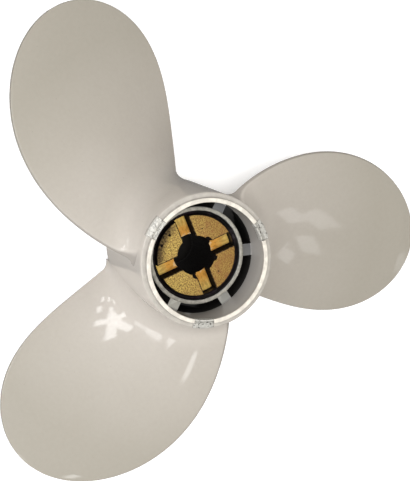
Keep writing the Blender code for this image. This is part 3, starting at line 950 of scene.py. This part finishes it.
def face_colour(tree, place, out, grain, pores):
    """Pressed bronze grains with faint rings, stains and dark pores, with painted shade that turns one side
    browner, and rust there.
    """
    colour = blended(tree, grain, BRONZE_DARK, BRONZE_BRIGHT)
    rings = cloud(tree, place_of(tree, out, 0.0, 0.0), 0.3 * MM).rise(0.5, 0.2)
    colour = blended(tree, rings * 0.3, colour, RING_BROWN)
    stain = cloud(tree, place, 2.5 * MM).rise(0.4, 0.2)
    colour = blended(tree, stain * 0.3, colour, STAIN_BROWN)
    # Painted shade: one side of the face is darkened towards brown, and rust is laid on the same side.
    shade_and_rust_side = (to_side(tree, place, SHADED_BROWN_SIDE, BUSH_RADIUS) + 0.45).held()
    colour = blended(tree, shade_and_rust_side * 0.6, colour, BRONZE_SHADE_BROWN)
    rusty = cloud(tree, place, 2.2 * MM, 3.0).rise(0.5, 0.12) * shade_and_rust_side
    colour = blended(tree, rusty * 0.35, colour, RUST)
    return blended(tree, pores * 0.8, colour, PORE_BLACK)


def slot_floor_colour(tree, place, out, colour):
    """Bright slot floors, rubbed to copper by the pin, streaked lengthwise, with painted shade along their
    sides and a painted highlight at the inner end.
    """
    x, y, z = parts_of(tree, place)
    on_floor = z.fall(SLOT_FLOOR + 0.4 * MM, 0.2 * MM)
    ragged_out = out - (cloud(tree, place, 1.5 * MM) - 0.5) * (5.0 * MM)
    rubbed = ragged_out.fall(PIN_REACH + 1.5 * MM, 3.0 * MM) * on_floor
    colour = blended(tree, on_floor * 0.75, colour, FLOOR_GOLD)
    colour = blended(tree, rubbed * 0.75, colour, PIN_COPPER)
    beside = x.work("ABSOLUTE").work("MINIMUM", y.work("ABSOLUTE"))
    scratch = cloud(tree, place_of(tree, beside, out * 0.4, z), 0.9 * MM, 4.0)
    # Scratches, and painted shade along the floor's sides beside the walls.
    streak = beside.rise(SLOT_HALF - 0.9 * MM, 0.4 * MM) * 0.4 + scratch.rise(0.5, 0.1) * 0.35
    colour = blended(tree, streak * on_floor, colour, SCRATCH_AND_SHADE_BROWN)
    # Painted highlight: a pale spot at the floor's inner end by the bore.
    inner_end_highlight = ragged_out.fall(BORE_RADIUS + 0.6 * MM, 0.3 * MM) * on_floor
    return blended(tree, inner_end_highlight * 0.7, colour, BORE_EDGE_HIGHLIGHT)


def bronze_material():
    """Sintered bronze, with oil and painted shade over it as the mesh's oil number says."""
    material, tree, shader, place = new_material("sintered_bronze")
    out = from_shaft(tree, place)
    grain = cloud(tree, place, 0.43 * MM, 5.0).rise(0.39, 0.2)
    pores = cloud(tree, place, 0.6 * MM, 2.0).rise(0.66, 0.05)
    colour = face_colour(tree, place, out, grain, pores)
    colour = slot_floor_colour(tree, place, out, colour)
    film = stored(tree, "oil") + (cloud(tree, place, 0.8 * MM, 3.0) - 0.5) * 0.9
    oil = film.rise(0.45, 0.4)
    colour = blended(tree, film.rise(0.12, 0.4) * 0.75, colour, OIL_AND_SHADE_BROWN)
    colour = blended(tree, oil, colour, OIL_AND_SHADE_BLACK)
    feed(tree, shader.inputs["Base Color"], colour)
    feed(tree, shader.inputs["Metallic"], -oil * 0.45 + 0.45)
    feed(tree, shader.inputs["Roughness"], grain * 0.12 + 0.42 + oil * 0.2)
    feed(tree, shader.inputs["Specular IOR Level"], -oil * 0.45 + 0.5)
    roughen(tree, shader, cloud(tree, place, 0.35 * MM, 3.0) - pores * 0.5, 0.1 * MM, 0.6)
    return material


bush = bush_mesh()
bush.data.materials.append(bronze_material())
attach(bush, "root")
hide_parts("drive_bush")


# The floor and the light of a plain studio: a pale matt table, soft light from above, and two clusters and
# a row of small lamps that show as glints in the gloss of the blades.
FLOOR_REACH = 2.0
FLOOR_GREY = (0.90, 0.90, 0.90, 1)
FLOOR_PALE = (0.94, 0.94, 0.94, 1)

corners = ((-1, -1), (1, -1), (1, 1), (-1, 1))
floor_points = [(x * FLOOR_REACH, y * FLOOR_REACH, BARREL_REAR) for x, y in corners]
floor = new_piece("floor", floor_points, [(0, 1, 2, 3)])


def floor_material():
    """Matt and pale, with painted shade under the hub, so that the bore looks as deep and black as the real
    one.
    """
    material, tree, shader, place = new_material("pale_table")
    shade_under_hub = from_shaft(tree, place).fall(TAIL_RADIUS - 0.5 * MM, 0.5 * MM)
    colour = blended(tree, cloud(tree, place, 0.3), FLOOR_GREY, FLOOR_PALE)
    # Painted shade: a black disc on the floor under the hub.
    colour = blended(tree, shade_under_hub, colour, SOOT_AND_SHADE_BLACK)
    feed(tree, shader.inputs["Base Color"], colour)
    feed(tree, shader.inputs["Emission Color"], colour)
    shader.inputs["Emission Strength"].default_value = 0.25
    shader.inputs["Roughness"].default_value = 0.8
    return material


floor.data.materials.append(floor_material())
floor.visible_glossy = False


LAMP_AIM = Vector((0, 0, -10 * MM))


def lamp(name, bearing, distance, width, height, power, offset=(0.0, 0.0), spin=0.0):
    """An area lamp that looks at the hub from an azimuth and elevation, moved and spun in its own plane."""
    azimuth, elevation = (math.radians(angle) for angle in bearing)
    direction = Vector(polar(math.cos(elevation), azimuth, math.sin(elevation)))
    facing_hub = direction.to_track_quat("Z", "Y").to_matrix()
    data = bpy.data.lights.new(name, "AREA")
    data.shape = "RECTANGLE"
    data.size = width
    data.size_y = height
    data.energy = power
    source = bpy.data.objects.new(name, data)
    bpy.context.scene.collection.objects.link(source)
    source.matrix_world = (facing_hub @ Matrix.Rotation(math.radians(spin), 3, "Z")).to_4x4()
    source.location = LAMP_AIM + direction * distance + facing_hub @ Vector((offset[0], offset[1], 0))
    return source


# The soft lamps, which don't show in the gloss: azimuth and elevation, distance and width in metres, power.
SOFT_LAMPS = {
    "overhead": ((80, 76), 1.3, 1.2, 4.95),
    "key": ((70, 40), 0.45, 0.3, 0.55),
    "fill": ((262, 50), 0.5, 0.3, 0.32),
}
KEY_COLOUR = (0.85, 0.93, 1.1)

for name, (bearing, distance, width, power) in SOFT_LAMPS.items():
    lamp(name, bearing, distance, width, width, power).visible_glossy = False
bpy.data.lights["key"].color = KEY_COLOUR


def glint(name, bearing, start, end, width, glow):
    """A long narrow lamp between two places of the plane that faces the hub from a bearing."""
    run = (Vector(end) - Vector(start)) * MM
    middle = (Vector(end) + Vector(start)) * (0.5 * MM)
    power = glow * math.pi * run.length * (width * MM)
    lamp(name, bearing, GLINT_DISTANCE, run.length, width * MM, power, middle,
         math.degrees(math.atan2(run.y, run.x)))


# The small lamps, in millimetres of the plane that faces the hub from their bearing. The near star has arms,
# given by their outer ends, and petals, given by their middles and widths. The far star's arms are given by
# both their ends and their widths.
GLINT_DISTANCE = 0.607
STAR_BEARING = (49.5, 26.1)
STAR_ARMS = ((-66, 55), (87, 136), (159, 70), (72, -76), (-50, -52))
STAR_ARM_START = 0.15
STAR_ARM_WIDTH = 48
STAR_PETALS = ((-140, -49, 24), (-207, -146, 18), (-168, -165, 18), (-103, -158, 20), (-70, -72, 22),
               (0, 0, 30))
PETAL_RUN = (20, 23)
STAR_GLOW = 7.0
FAR_STAR_BEARING = (203, 15.5)
FAR_STAR_ARMS = ((92, -35, 94, 35, 84), (52, 45, 78, 105, 70), (-15, 2, -85, 20, 70),
                 (-95, -70, -175, -100, 64), (-56, -65, -150, -140, 12))
FAR_STAR_GLOW = 1.35

for number, (x, y) in enumerate(STAR_ARMS, 1):
    start = (x * STAR_ARM_START, y * STAR_ARM_START)
    glint("star_%d" % number, STAR_BEARING, start, (x, y), STAR_ARM_WIDTH, STAR_GLOW)
for number, (*ends, width) in enumerate(FAR_STAR_ARMS, 1):
    glint("far_star_%d" % number, FAR_STAR_BEARING, ends[:2], ends[2:], width, FAR_STAR_GLOW)
for number, (x, y, width) in enumerate(STAR_PETALS, 1):
    glint("spot_%d" % number, STAR_BEARING, (x - PETAL_RUN[0], y - PETAL_RUN[1]),
          (x + PETAL_RUN[0], y + PETAL_RUN[1]), width, STAR_GLOW)
glint("streak_1", (87.2, 32.0), (-165, -80), (-70, -35), 80, 3.0)
glint("streak_2", (87.2, 32.0), (-55, -33), (90, 36), 95, 4.0)
glint("streak_4", (106.7, 38.6), (-20, -20), (20, 20), 60, 4.0)
glint("streak_3", (134.3, 47.2), (-2, -35), (6, 28), 30, 5.0)


SPOT_BEARING = Vector((0.2, 0.15, 1.0)).normalized()
SPOT_DISTANCE = 1.1
SPOT_POWER = 16.0


def soft_spot():
    """A round lamp with a soft edge that lights the hub more than the blades' tips."""
    data = bpy.data.lights.new("soft_spot", "SPOT")
    data.energy = SPOT_POWER
    data.spot_size = math.radians(22)
    data.spot_blend = 1.0
    data.shadow_soft_size = 0.12
    source = bpy.data.objects.new("soft_spot", data)
    bpy.context.scene.collection.objects.link(source)
    source.matrix_world = SPOT_BEARING.to_track_quat("Z", "Y").to_matrix().to_4x4()
    source.location = LAMP_AIM + SPOT_BEARING * SPOT_DISTANCE
    source.visible_glossy = False


soft_spot()


WORLD_LOW = (0.28, 0.27, 0.26, 1)
WORLD_HIGH = (1.0, 0.99, 0.97, 1)
WORLD_STRENGTH = 0.75


def studio_world():
    """White light from above that dims to a warm grey towards the horizon and below it."""
    world = bpy.data.worlds.new("studio")
    world.use_nodes = True
    tree = world.node_tree
    direction = tree.nodes.new("ShaderNodeTexCoord").outputs["Generated"]
    climb = parts_of(tree, direction)[2]
    share = (climb / 0.6 + 0.1).held()
    colour = blended(tree, share, WORLD_LOW, WORLD_HIGH)
    background = tree.nodes["Background"]
    tree.links.new(colour, background.inputs["Color"])
    background.inputs["Strength"].default_value = WORLD_STRENGTH
    return world


bpy.context.scene.world = studio_world()
bpy.context.scene.view_settings.view_transform = "Standard"
